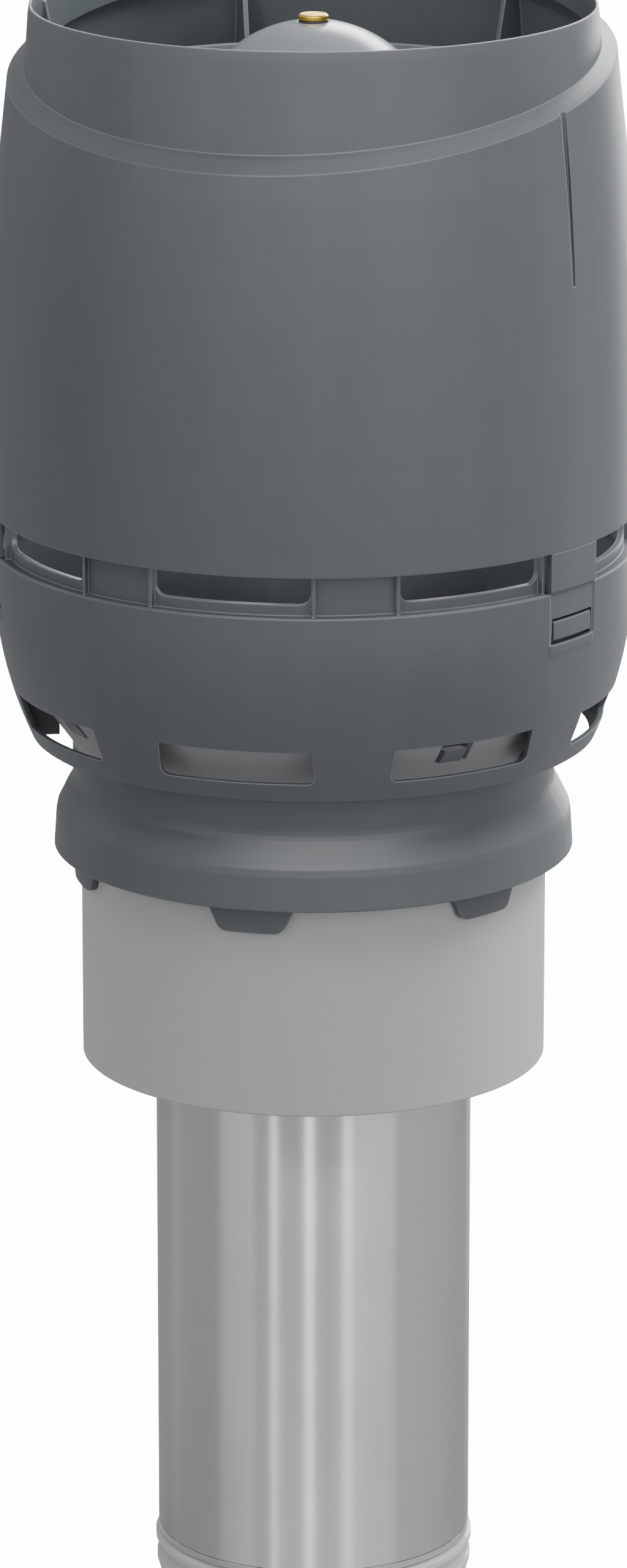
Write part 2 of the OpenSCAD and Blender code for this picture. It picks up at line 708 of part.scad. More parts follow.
// Pan head screw, head up, with its seat at z = 0 and a cross recess
module pan_screw(shank_r, shank_h, head_r, head_h) {
    recess_w = head_r / 4;
    difference() {
        union() {
            translate([0, 0, -shank_h]) cylinder(r = shank_r, h = shank_h + 0.2, $fn = 32);
            cylinder(r = head_r, h = head_h / 2, $fn = 48);
            translate([0, 0, head_h / 2])
                cylinder(r1 = head_r, r2 = head_r * 0.62, h = head_h / 2, $fn = 48);
        }
        for (turn = [0, 90])
            rotate([0, 0, turn])
                translate([-head_r / 2, -recess_w / 2, head_h * 0.4]) cube([head_r, recess_w, head_h]);
    }
}

// Screws that hold cone and funnel down on the collar
module cone_screws() {
    color([0.75, 0.75, 0.76])
        for (angle = cone_screw_angles)
            facing(angle)
                translate([cone_screw_ring_r, 0, cone_plate_z + base_plate_t])
                    pan_screw(cone_screw_r, 2 * base_plate_t + neck_plate_t, screw_head_r, screw_head_h);
}

// Nozzle that narrows the air's way out; its socket stands on the sleeve
module nozzle() {
    seat_r = sleeve_r + seat_gap;
    in_r = sleeve_r - nozzle_wall;
    mouth_in_r = nozzle_mouth_r - nozzle_wall;
    color([0.42, 0.44, 0.45]) difference() {
        turned([[seat_r, sleeve_top - socket_h], [socket_r, sleeve_top - socket_h],
                [socket_r, bridge_z + 14], [nozzle_mouth_r + 2, nozzle_top - 14],
                [nozzle_mouth_r, nozzle_top - 6], [nozzle_mouth_r, nozzle_top],
                [mouth_in_r, nozzle_top], [mouth_in_r, nozzle_top - 6],
                [mouth_in_r + 2, nozzle_top - 14], [in_r, bridge_z + 13],
                [in_r, bridge_z], [in_r - bridge_ring_w - 1, bridge_z],
                [in_r - bridge_ring_w - 1, sleeve_top], [seat_r, sleeve_top]]);
        for (angle = arm_angles)
            facing(angle)
                translate([bridge_ring_r - bridge_ring_w / 2, 0, sleeve_top - bite])
                    cylinder(r = bridge_screw_r + thread_gap, h = bridge_seat_t + 2 * bite, $fn = 32);
    }
}

// Three-armed bridge that carries the stud in the middle of the air's way
module bridge() {
    color([0.7, 0.7, 0.71]) difference() {
        union() {
            band(bridge_ring_r - bridge_ring_w, bridge_ring_r, bridge_z, bridge_z + bridge_t);
            translate([0, 0, bridge_z]) cylinder(r = hub_r, h = bridge_t);
            for (angle = arm_angles)
                facing(angle)
                    radial_block(stud_r + 2, bridge_ring_r - 2, arm_w, bridge_z, bridge_z + bridge_t);
        }
        translate([0, 0, bridge_z - bite]) cylinder(r = stud_r + stud_gap, h = bridge_t + 2 * bite);
        for (angle = arm_angles)
            facing(angle)
                translate([bridge_ring_r - bridge_ring_w / 2, 0, bridge_z - bite])
                    cylinder(r = bridge_screw_r + clear_gap, h = bridge_t + 2 * bite, $fn = 32);
    }
}

// Screws that hold the bridge on its seat in the nozzle
module bridge_screws() {
    color([0.75, 0.75, 0.76])
        for (angle = arm_angles)
            facing(angle)
                translate([bridge_ring_r - bridge_ring_w / 2, 0, hub_top])
                    pan_screw(bridge_screw_r, bridge_t + bridge_seat_t, bridge_head_r, bridge_head_h);
}

// Long threaded stud on the axis
module stud() {
    top = nut_head_z + nut_head_t - 1.4;
    low = bridge_z - stud_tail;
    color([0.75, 0.75, 0.76])
        turned([[0, low], [stud_r - 0.8, low], [stud_r, low + 0.8], [stud_r, top - 0.8],
                [stud_r - 0.8, top], [0, top]]);
}

// Hexagon nut of the given height, bored for the stud
module hex_nut(height) {
    difference() {
        cylinder(r = stud_nut_flats / 2 / cos(30), h = height, $fn = 6);
        translate([0, 0, -bite]) cylinder(r = stud_r + stud_gap, h = height + 2 * bite, $fn = 64);
    }
}

// Two nuts that clamp the bridge's hub on the stud
module stud_nuts() {
    color([0.75, 0.75, 0.76]) {
        translate([0, 0, hub_top + washer_t]) hex_nut(stud_nut_h);
        translate([0, 0, bridge_z - washer_t - stud_nut_h]) hex_nut(stud_nut_h);
    }
}

// Washers above and below the bridge's hub
module stud_washers() {
    color([0.75, 0.75, 0.76]) {
        band(stud_r + stud_gap, washer_r, hub_top, hub_top + washer_t);
        band(stud_r + stud_gap, washer_r, bridge_z - washer_t, bridge_z);
    }
}

// Tube on the stud that holds the dome at its height
module spacer_tube() {
    color([0.7, 0.71, 0.72])
        band(stud_r + stud_gap, tube_r, tube_low_z, boss_low_z);
}

// Domed rain cap with a boss under its crown
module dome() {
    in_r = dome_r - dome_wall;
    color([0.62, 0.64, 0.65]) difference() {
        union() {
            difference() {
                translate([0, 0, dome_centre_z]) sphere(dome_r);
                translate([0, 0, dome_centre_z]) sphere(in_r);
                translate([0, 0, dome_low_z - far]) cylinder(r = far, h = far);
            }
            translate([0, 0, boss_low_z]) cylinder(r = boss_r, h = pad_z - boss_low_z - 0.5);
        }
        translate([0, 0, boss_low_z - bite]) cylinder(r = dome_hole_r, h = far);
        translate([0, 0, pad_z]) cylinder(r = nut_head_r + 1.3, h = far);
    }
}

// Rubber washer under the brass nut's head
module dome_washer() {
    color([0.12, 0.12, 0.12])
        band(dome_hole_r, nut_head_r - thread_gap, pad_z, nut_head_z);
}

// Brass sleeve nut that holds the dome down: low round head and bored barrel
module brass_nut() {
    top = nut_head_z + nut_head_t;
    hole_top = top - 1.1;
    color([0.85, 0.65, 0.2])
        turned([[stud_r + stud_gap, nut_head_z - nut_barrel_h], [nut_barrel_r, nut_head_z - nut_barrel_h],
                [nut_barrel_r, nut_head_z], [nut_head_r - 0.5, nut_head_z], [nut_head_r, nut_head_z + 0.7],
                [nut_head_r, top - 0.8], [nut_head_r - 0.8, top], [0, top], [0, hole_top],
                [stud_r + stud_gap, hole_top]]);
}

// The hood's outer body without its hollow; inset moves every surface inwards
module hood_body(inset, z_low) {
    z_top = rim_z - 2 - inset;
    foot_in = inset > 0 ? inset * 0.75 : 0;
    intersection() {
        turned(concat([[0, z_low]], hood_points(z_low, hood_curve_top, inset, 9),
                      [[hood_side(z_top) - inset, z_top], [0, z_top]]));
        translate([0, 0, shoulder_z - inset * 1.1])
            rotate([shoulder_tilt, 0, 0])
                turned([[0, -far], [far, -far], [far, (shoulder_r - far) * shoulder_slope],
                        [shoulder_r - foot_in, 0],
                        [shoulder_r - inner_facet_w, inner_facet_w * inner_facet_slope],
                        [0, inner_facet_w * inner_facet_slope]]);
    }
}

// A plate inside the hood: its inner edge carries the baffle ring, its foot stands on the bowl's ring
module rib_plate() {
    rotate([90, 0, 0])
        linear_extrude(rib_t, center = true)
            polygon([[rib_foot_r, ring_top], [rib_foot_r, ring_top + 26],
                     [baffle_r - baffle_seat_w, baffle_low_z - 12], [baffle_r - baffle_seat_w, baffle_low_z],
                     [baffle_r + seat_gap, baffle_low_z], [baffle_r + seat_gap, baffle_top_z],
                     [rim_r - 3, rim_z - 5], [hood_r + 10, rim_z - 5], [hood_r + 10, ring_top]]);
}

// Tall open hood: bulged wall, tilted shoulder, narrower collar, ribs inside
module hood() {
    rim_in_r = rim_r - edge - rim_wall;
    color(slate) difference() {
        union() {
            hood_body(0, hood_low_z);
            turned([[0, collar_foot_z], [collar_foot_r, collar_foot_z], [rim_r, rim_z - rim_band_h],
                    [rim_r - edge, rim_z], [0, rim_z]]);
        }
        difference() {
            union() {
                hood_body(hood_wall, hood_low_z - bite);
                turned([[0, collar_foot_z - 4], [collar_foot_r - hood_wall + edge, collar_foot_z - 4],
                        [rim_in_r - 0.4, rim_z - rim_band_h], [rim_in_r, rim_z + bite], [0, rim_z + bite]]);
            }
            for (angle = rib_angles)
                facing(angle) rib_plate();
        }
        for (angle = latch_angles)
            facing(angle)
                translate([hood_side(groove_top_z) - groove_depth, 0, groove_top_z])
                    rotate([0, -groove_tilt, 0])
                        rotate([90, 0, 90])
                            linear_extrude(12)
                                polygon([[-groove_w / 2, 0], [-groove_w * 0.27, -groove_h],
                                         [groove_w * 0.27, -groove_h], [groove_w / 2, 0]]);
    }
}

// Sleeve in the hood that keeps the rain on the wall away from the air's way out
module baffle_ring() {
    in_r = baffle_r - baffle_wall;
    color([0.4, 0.42, 0.44])
        turned([[in_r, baffle_low_z], [baffle_r, baffle_low_z], [baffle_r, baffle_top_z - edge],
                [baffle_r - edge, baffle_top_z], [in_r + edge, baffle_top_z], [in_r, baffle_top_z - edge]]);
}

// Latch tongue at the given angle: flush plate, shoulder over the bowl's rim, blade and tooth
module latch_tongue(angle) {
    plate_out = hood_skirt_in_r() + hood_wall - hinge_gap;
    plate_in = hood_skirt_in_r() + hinge_gap;
    blade_in = blade_r - blade_t;
    shoulder_low = bowl_rim_z + seat_gap;
    tooth_top = catch_top_z - 1.5;
    tooth_foot = catch_low_z + 2.4;
    color(slate) facing(angle) {
        intersection() {
            turned([[plate_in, tongue_top_z], [plate_in, shoulder_low + 5], [blade_in, shoulder_low + 3],
                    [blade_in, tongue_low_z], [blade_r - 0.6, tongue_low_z], [blade_r, tongue_low_z + 2],
                    [blade_r, shoulder_low], [plate_out - 0.4, shoulder_low], [plate_out, shoulder_low + 0.6],
                    [plate_out, tongue_top_z]]);
            radial_block(blade_in - 6, plate_out + 6, tongue_w, tongue_low_z - bite, tongue_top_z + bite);
        }
        intersection() {
            turned([[blade_r - 1, tooth_top], [tooth_r - 0.5, tooth_top], [tooth_r, tooth_top - 0.6],
                    [tooth_r, tooth_foot], [blade_r - 1, catch_low_z + 0.8]]);
            radial_block(blade_in - 6, plate_out + 6, catch_w - 3 * bite, catch_low_z, catch_top_z);
        }
    }
}

duct_pipe();
spigot_end();
lip_seal();
jacket_shell();
jacket_end_ring();
insulation_core();
roof_collar();
tab_ring();
collar_seal();
bowl();
drain_funnel();
drain_clips();
rain_cone();
duct_seal();
cone_screws();
nozzle();
bridge();
bridge_screws();
stud();
stud_nuts();
stud_washers();
spacer_tube();
dome();
dome_washer();
brass_nut();
hood();
baffle_ring();
latch_tongue(latch_angles[0]);  // latch_right
latch_tongue(latch_angles[1]);  // latch_left
latch_tongue(latch_angles[2]);  // latch_rear_right
latch_tongue(latch_angles[3]);  // latch_rear_left
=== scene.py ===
# %% [markdown]
# # A roof vent pipe, dressed for its picture
# The real object is an insulated exhaust duct. Its steel pipe comes up through the roof, a flared collar
# sits on the roof's pass-through, and a tall dark hood stands on a louvred bowl that drains the rain.
# The solids were made beforehand and load as a fixed frame, so this lesson adds what a solid lacks:
# finishes with grain, edges lightened partly by wear and partly by a painted highlight, threads and
# screws made by Geometry Nodes, light and a camera.

from math import cos, pi, radians, sin, tau

import bpy
import bmesh
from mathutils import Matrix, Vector


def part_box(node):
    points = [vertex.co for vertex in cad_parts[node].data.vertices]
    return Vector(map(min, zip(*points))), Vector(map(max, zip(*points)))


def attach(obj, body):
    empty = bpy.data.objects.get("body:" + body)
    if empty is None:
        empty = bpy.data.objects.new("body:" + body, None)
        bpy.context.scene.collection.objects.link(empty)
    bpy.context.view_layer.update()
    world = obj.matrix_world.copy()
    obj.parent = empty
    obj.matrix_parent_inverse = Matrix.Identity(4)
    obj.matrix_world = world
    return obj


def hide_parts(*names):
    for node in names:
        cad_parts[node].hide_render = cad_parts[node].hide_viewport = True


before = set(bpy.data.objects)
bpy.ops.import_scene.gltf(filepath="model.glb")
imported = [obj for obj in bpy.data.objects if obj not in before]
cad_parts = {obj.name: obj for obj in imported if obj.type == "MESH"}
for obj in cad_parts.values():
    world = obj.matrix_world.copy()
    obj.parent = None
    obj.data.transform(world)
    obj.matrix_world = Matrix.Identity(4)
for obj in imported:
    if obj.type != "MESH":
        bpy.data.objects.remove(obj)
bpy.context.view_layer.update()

# %% [markdown]
# ## Where things are
# Every piece that this script makes is placed by the boxes of the loaded nodes, so it goes where the
# solid says. The pipe's axis is the Z axis, the front looks along -Y, and all sizes are in metres.

# %% Heights and radii read from the nodes
MM = 0.001
stud_low, stud_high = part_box("stud")
screw_low, screw_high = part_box("cone_screws")
bridge_screw_low, bridge_screw_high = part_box("bridge_screws")
print("stud from", round(stud_low.z, 4), "to", round(stud_high.z, 4))
print("screws up to", round(screw_high.z, 4), "and", round(bridge_screw_high.z, 4))

# %% [markdown]
# ## Small helpers for node trees
# A node tree is easier to read when each line says what is made and where it goes. These helpers add a
# node with its settings, join two sockets, make the sums, vectors and noises that come up again and
# again, and give a group its named inputs and outputs.

# %% Helpers for nodes


def add(tree, kind, **settings):
    """Adds a node to the tree and sets its properties."""
    node = tree.nodes.new(kind)
    for name, value in settings.items():
        setattr(node, name, value)
    return node


def join(tree, start, end):
    """Links an output socket to an input socket."""
    tree.links.new(start, end)


def give(tree, socket, value):
    """Links the input if the value is a socket, and otherwise sets it to the number or colour."""
    if isinstance(value, bpy.types.NodeSocket):
        join(tree, value, socket)
    else:
        socket.default_value = value


def feed(tree, node, **values):
    """Gives a node's inputs their values by name, with _ for a space; gives back the node."""
    for name, value in values.items():
        give(tree, node.inputs[name.replace("_", " ")], value)
    return node


def math(tree, operation, first, second):
    """One sum on numbers or sockets; gives back its result socket."""
    node = add(tree, "ShaderNodeMath", operation=operation)
    give(tree, node.inputs[0], first)
    give(tree, node.inputs[1], second)
    return node.outputs[0]


def vector(tree, x=0.0, y=0.0, z=0.0):
    """Three numbers or sockets as one vector; gives back its socket."""
    return feed(tree, add(tree, "ShaderNodeCombineXYZ"), X=x, Y=y, Z=z).outputs[0]


def noise(tree, place, **values):
    """A noise texture read at a place; gives back the socket of its value."""
    return feed(tree, add(tree, "ShaderNodeTexNoise"), Vector=place, **values).outputs[0]


def open_tree(name, kind, inputs, outputs):
    """A node group with named sockets, and its two end nodes."""
    tree = bpy.data.node_groups.new(name, kind)
    for label, socket_kind, value in inputs:
        socket = tree.interface.new_socket(name=label, in_out="INPUT", socket_type=socket_kind)
        if value is not None:
            socket.default_value = value
    for label, socket_kind in outputs:
        tree.interface.new_socket(name=label, in_out="OUTPUT", socket_type=socket_kind)
    return tree, add(tree, "NodeGroupInput"), add(tree, "NodeGroupOutput")


FLOAT = "NodeSocketFloat"
INTEGER = "NodeSocketInt"
VECTOR = "NodeSocketVector"
MATERIAL = "NodeSocketMaterial"
GEOMETRY = "NodeSocketGeometry"
print("node helpers ready")

# %% [markdown]
# ## Effects that several finishes share
# Moulded plastic has a fine grain that scatters light and a slow drift of tone from the mould. It could
# be a picture wrapped on the surface, but noise read from Object coordinates stays put in every view and
# needs no unwrapping. The group gives a height for a bump and a tone for the colour.

# %% Group: moulded grain


def moulded_grain():
    """Fine noise with small pits for relief, and slow noise for tone."""
    tree, start, end = open_tree(
        "moulded grain", "ShaderNodeTree",
        [("Place", VECTOR, None), ("Grain scale", FLOAT, 1400.0), ("Tone scale", FLOAT, 9.0)],
        [("Height", FLOAT), ("Tone", FLOAT)])
    given = start.outputs
    grain = noise(tree, given["Place"], Scale=given["Grain scale"], Detail=2.0, Roughness=0.6)
    pits = feed(tree, add(tree, "ShaderNodeTexVoronoi", feature="F1"), Vector=given["Place"],
                Scale=given["Grain scale"])
    drift = noise(tree, given["Place"], Scale=given["Tone scale"], Detail=3.0, Roughness=0.55)
    pit_share = 0.3
    height = math(tree, "ADD", math(tree, "MULTIPLY", grain, 1 - pit_share),
                  math(tree, "MULTIPLY", pits.outputs["Distance"], pit_share))
    join(tree, height, end.inputs["Height"])
    join(tree, drift, end.inputs["Tone"])
    return tree


grain_group = moulded_grain()
print("made", grain_group.name)

# %% [markdown]
# Light catches the edges of a moulded part, because no mould is perfectly sharp. A Bevel node rounds the
# shading at each edge without touching the mesh, and where the rounded normal leaves the true one there
# is an edge. The same mask lightens the colour of the rims: partly wear from handling, partly a painted
# highlight where a rounded rim catches the light.

# %% Group: worn and highlighted edges


def worn_and_highlighted_edges():
    """A rounded normal, and a mask that is 1 on edges and 0 on plain faces."""
    tree, start, end = open_tree(
        "worn and highlighted edges", "ShaderNodeTree", [("Radius", FLOAT, 0.8 * MM)],
        [("Normal", VECTOR), ("Edge", FLOAT)])
    bevel = feed(tree, add(tree, "ShaderNodeBevel", samples=6), Radius=start.outputs["Radius"])
    true_normal = add(tree, "ShaderNodeNewGeometry")
    facing = add(tree, "ShaderNodeVectorMath", operation="DOT_PRODUCT")
    join(tree, bevel.outputs[0], facing.inputs[0])
    join(tree, true_normal.outputs["Normal"], facing.inputs[1])
    edge = feed(tree, add(tree, "ShaderNodeMapRange"), Value=facing.outputs["Value"],
                From_Min=0.995, From_Max=0.8)
    join(tree, bevel.outputs[0], end.inputs["Normal"])
    join(tree, edge.outputs["Result"], end.inputs["Edge"])
    return tree


edge_group = worn_and_highlighted_edges()
print("made", edge_group.name)

# %% [markdown]
# Rain and roof dust run down a part that stands outside, and leave faint upright streaks. Noise that is
# stretched along Z gives them: its scale is high across and low upwards.

# %% Group: rain streaks


def rain_streaks():
    """A mask of faint upright streaks."""
    tree, start, end = open_tree(
        "rain streaks", "ShaderNodeTree",
        [("Place", VECTOR, None), ("Across", FLOAT, 60.0), ("Along", FLOAT, 3.0)],
        [("Streak", FLOAT)])
    given = start.outputs
    scaled = add(tree, "ShaderNodeVectorMath", operation="MULTIPLY")
    join(tree, given["Place"], scaled.inputs[0])
    join(tree, vector(tree, given["Across"], given["Across"], given["Along"]), scaled.inputs[1])
    stripes = noise(tree, scaled.outputs[0], Scale=1.0, Detail=4.0, Roughness=0.6)
    contrast = feed(tree, add(tree, "ShaderNodeMapRange"), Value=stripes, From_Min=0.45, From_Max=0.75)
    join(tree, contrast.outputs["Result"], end.inputs["Streak"])
    return tree


streak_group = rain_streaks()
print("made", streak_group.name)

# %% [markdown]
# ## Finishes
# Every material starts alike: a Principled BSDF, and Object coordinates for its patterns. Placing a
# shared group, mixing two colours and letting the gloss drift come up again and again, so they are
# helpers too.

# %% Helpers for materials
WHITE = (1.0, 1.0, 1.0, 1.0)
BLACK = (0.0, 0.0, 0.0, 1.0)
# The Mix node has a set of sockets for each kind of data, so its colour sockets are found by number.
MIX_SHARE, MIX_FIRST, MIX_SECOND, MIX_RESULT = 0, 6, 7, 2


def start_material(name):
    """A material with a Principled BSDF and Object coordinates; gives back what later lines need."""
    material = bpy.data.materials.new(name)
    material.use_nodes = True
    tree = material.node_tree
    tree.nodes.clear()
    output = add(tree, "ShaderNodeOutputMaterial")
    shader = add(tree, "ShaderNodeBsdfPrincipled")
    join(tree, shader.outputs[0], output.inputs["Surface"])
    place = add(tree, "ShaderNodeTexCoord").outputs["Object"]
    return material, tree, shader, place


def use_group(tree, group, **values):
    """Places a shared group in a material with its own values."""
    node = add(tree, "ShaderNodeGroup", node_tree=group)
    return feed(tree, node, **values)


def mix_colour(tree, share, first, second):
    """Mixes two colours by a share from 0 to 1; gives back the result socket."""
    node = add(tree, "ShaderNodeMix", data_type="RGBA")
    give(tree, node.inputs[MIX_SHARE], share)
    give(tree, node.inputs[MIX_FIRST], first)
    give(tree, node.inputs[MIX_SECOND], second)
    return node.outputs[MIX_RESULT]


def shade(colour, factor):
    """The colour made lighter or darker, with full alpha."""
    return tuple(part * factor for part in colour[:3]) + (1.0,)


def vary_gloss(tree, shader, pattern, roughness, spread):
    """Lets the roughness drift about its value with a pattern."""
    gloss = math(tree, "ADD", math(tree, "MULTIPLY", pattern, spread), roughness - spread / 2)
    join(tree, gloss, shader.inputs["Roughness"])


print("material helpers ready")

# %% [markdown]
# One function builds every plastic and rubber, because they differ only in colour, gloss, relief, wear
# and painted light. Colour drifts a little with the tone, lightens on edges, partly as wear and partly
# as a painted highlight, and greys in the streaks. A rubber with lips also gets painted shade in its
# grooves.

# %% How plastic and rubber are made
DUST = (0.33, 0.33, 0.32, 1.0)
# How far the edges lighten: partly wear, partly a painted highlight.
RUBBED_AND_HIGHLIGHT_SHARE = 0.55
# How far and how dark the painted shade in grooves reaches.
GROOVE_SHADE_REACH = 7 * MM
GROOVE_SHADE_TONE = 0.06
GRAIN_DEPTH = 0.2 * MM


def moulded(name, colour, roughness, bump=0.05, edge_light=1.5, streaks=0.03, edge_radius=0.8 * MM,
            drift=0.05, groove_shade=0.0):
    """A moulded plastic or rubber finish: its edges are lighter, part wear and part painted highlight,
    and its grooves get painted shade when the last argument is not 0.
    """
    material, tree, shader, place = start_material(name)
    grain = use_group(tree, grain_group, Place=place)
    edges = use_group(tree, edge_group, Radius=edge_radius)
    streak = use_group(tree, streak_group, Place=place)
    base = mix_colour(tree, grain.outputs["Tone"], shade(colour, 1 - drift), shade(colour, 1 + drift))
    dusty = mix_colour(tree, math(tree, "MULTIPLY", streak.outputs["Streak"], streaks), base, DUST)
    # The edges lighten: partly wear, partly a painted highlight.
    rubbed_and_highlighted = mix_colour(tree, math(tree, "MULTIPLY", edges.outputs["Edge"], RUBBED_AND_HIGHLIGHT_SHARE), dusty,
                        shade(colour, edge_light))
    # Ambient occlusion paints shade into the grooves.
    if groove_shade:
        groove_occlusion = feed(tree, add(tree, "ShaderNodeAmbientOcclusion", samples=8), Distance=GROOVE_SHADE_REACH)
        depth = math(tree, "MULTIPLY", math(tree, "SUBTRACT", 1.0, groove_occlusion.outputs["AO"]), groove_shade)
        rubbed_and_highlighted = mix_colour(tree, depth, rubbed_and_highlighted, shade(colour, GROOVE_SHADE_TONE))
    join(tree, rubbed_and_highlighted, shader.inputs["Base Color"])
    vary_gloss(tree, shader, grain.outputs["Tone"], roughness, spread=0.12)
    relief = feed(tree, add(tree, "ShaderNodeBump"), Strength=bump, Distance=GRAIN_DEPTH,
                  Height=grain.outputs["Height"], Normal=edges.outputs["Normal"])
    join(tree, relief.outputs[0], shader.inputs["Normal"])
    return material


print("plastic and rubber have grain of depth", GRAIN_DEPTH)

# %% Plastics and rubbers
# The edge_light values set how strongly rims lighten, partly wear and partly a painted highlight.
slate_plastic = moulded("slate plastic", (0.096, 0.1085, 0.1175), roughness=0.47, edge_light=4.0,
                        edge_radius=1.2 * MM)
inner_plastic = moulded("inner plastic", (0.17, 0.185, 0.195), roughness=0.5)
dark_plastic = moulded("dark plastic", (0.07, 0.078, 0.084), roughness=0.55)
funnel_plastic = moulded("funnel plastic", (0.34, 0.355, 0.365), roughness=0.5, edge_light=1.3)
jacket_plastic = moulded("jacket plastic", (0.5, 0.5, 0.5), roughness=0.5, bump=0.03, edge_light=1.2,
                         streaks=0.02, drift=0.03)
dome_plastic = moulded("dome plastic", (0.195, 0.213, 0.231), roughness=0.28, bump=0.03,
                       edge_light=1.25, streaks=0.02, drift=0.03)
# The seal gets painted shade in its grooves.
seal_rubber = moulded("seal rubber", (0.62, 0.63, 0.64), roughness=0.22, bump=0.03, streaks=0.0,
                      groove_shade=1.6)
black_rubber = moulded("black rubber", (0.02, 0.02, 0.021), roughness=0.6, bump=0.08, edge_light=2.5,
                       streaks=0.0)
print("plastics and rubbers made")

# %% [markdown]
# The duct is bare steel that was brushed round its axis, so its fine lines run round it and a highlight
# is drawn out upwards into soft upright bands. The lines are noise that changes fast along Z and slowly
# across, and the shader's anisotropy with a tangent that circles the Z axis stretches the light. Numbers
# that are the same all over, as that one, are set on the shader itself. Seen at a grazing angle the
# steel would mirror dark surroundings, so Layer Weight paints that dark reflection into its colour
# there.

# %% How brushed and plated metal is made
LINES_ACROSS = 6.0
METAL_EDGE = 0.4 * MM
LINE_DEPTH = 0.05 * MM
LINE_RELIEF = 0.02
SCRATCH_SHARE = 0.3
SCRATCH_TONE = 0.82
CLOUD_DARK = 0.93
CLOUD_LIGHT = 1.06
GRAZING_POWER = 2.0
QUARTER_TURN = 0.25


def brushed(name, colour, roughness, anisotropy, lines=2600.0, edge_dark_reflection=0.0):
    """A metal with fine lines round the Z axis; a dark reflection is painted into its colour where it is
    seen at a grazing angle.
    """
    material, tree, shader, place = start_material(name)
    stretch = feed(tree, add(tree, "ShaderNodeMapping"), Vector=place,
                   Scale=(LINES_ACROSS, LINES_ACROSS, lines))
    fine_lines = noise(tree, stretch.outputs[0], Scale=1.0, Detail=2.0, Roughness=0.5)
    cloud = noise(tree, place, Scale=14.0, Detail=4.0, Roughness=0.6)
    edges = use_group(tree, edge_group, Radius=METAL_EDGE)
    base = mix_colour(tree, cloud, shade(colour, CLOUD_DARK), shade(colour, CLOUD_LIGHT))
    scratched = mix_colour(tree, math(tree, "MULTIPLY", fine_lines, SCRATCH_SHARE), base,
                           shade(colour, SCRATCH_TONE))
    # Layer Weight paints a dark reflection into the colour at grazing angles.
    facing = add(tree, "ShaderNodeLayerWeight").outputs["Facing"]
    grazing = math(tree, "POWER", facing, GRAZING_POWER)
    with_dark_reflection = mix_colour(tree, math(tree, "MULTIPLY", grazing, edge_dark_reflection), scratched, BLACK)
    join(tree, with_dark_reflection, shader.inputs["Base Color"])
    vary_gloss(tree, shader, cloud, roughness, spread=0.08)
    relief = feed(tree, add(tree, "ShaderNodeBump"), Strength=LINE_RELIEF, Distance=LINE_DEPTH,
                  Height=fine_lines, Normal=edges.outputs["Normal"])
    join(tree, relief.outputs[0], shader.inputs["Normal"])
    shader.inputs["Metallic"].default_value = 1.0
    if anisotropy:
        shader.inputs["Anisotropic"].default_value = anisotropy
        shader.inputs["Anisotropic Rotation"].default_value = QUARTER_TURN
        circle = add(tree, "ShaderNodeTangent", direction_type="RADIAL", axis="Z")
        join(tree, circle.outputs[0], shader.inputs["Tangent"])
    return material


print("metal has lines of depth", LINE_DEPTH)

# %% Metals
duct_steel = brushed("duct steel", (0.72, 0.72, 0.725), roughness=0.24, anisotropy=1.0, edge_dark_reflection=0.8)
spigot_steel = brushed("spigot steel", (0.72, 0.72, 0.73), roughness=0.1, anisotropy=0.3)
zinc_plate = brushed("zinc plate", (0.58, 0.58, 0.57), roughness=0.3, anisotropy=0.0, lines=300.0)
tube_aluminium = brushed("tube aluminium", (0.66, 0.67, 0.68), roughness=0.28, anisotropy=0.6)
nut_brass = brushed("nut brass", (1.0, 0.68, 0.1), roughness=0.3, anisotropy=0.3, lines=1200.0)
print("metals made")

# %% [markdown]
# The insulation is pressed fibre. It is closed in, but a finish is still owed to every piece, so it gets
# matted threads from a fine noise and patches from a coarse one, with a soft relief.

# %% Insulation
FIBRE_DARK = 0.7
FIBRE_LIGHT = 1.15
PATCH_SHARE = 0.4
PATCH_TONE = 0.85
FIBRE_DEPTH = 0.8 * MM


def fibre(name, colour):
    """Matted fibre with soft relief."""
    material, tree, shader, place = start_material(name)
    threads = noise(tree, place, Scale=260.0, Detail=5.0, Roughness=0.7, Distortion=1.4)
    patches = noise(tree, place, Scale=30.0, Detail=2.0)
    base = mix_colour(tree, threads, shade(colour, FIBRE_DARK), shade(colour, FIBRE_LIGHT))
    uneven = mix_colour(tree, math(tree, "MULTIPLY", patches, PATCH_SHARE), base,
                        shade(colour, PATCH_TONE))
    join(tree, uneven, shader.inputs["Base Color"])
    relief = feed(tree, add(tree, "ShaderNodeBump"), Strength=0.6, Distance=FIBRE_DEPTH, Height=threads)
    join(tree, relief.outputs[0], shader.inputs["Normal"])
    shader.inputs["Roughness"].default_value = 0.95
    return material


insulation_fibre = fibre("insulation fibre", (0.62, 0.56, 0.42))
print("made", insulation_fibre.name)

# %% [markdown]
# ## Give every node its finish
# The loaded nodes keep their shapes. Only the material in their slots is changed, so the table below is
# the whole paint shop.

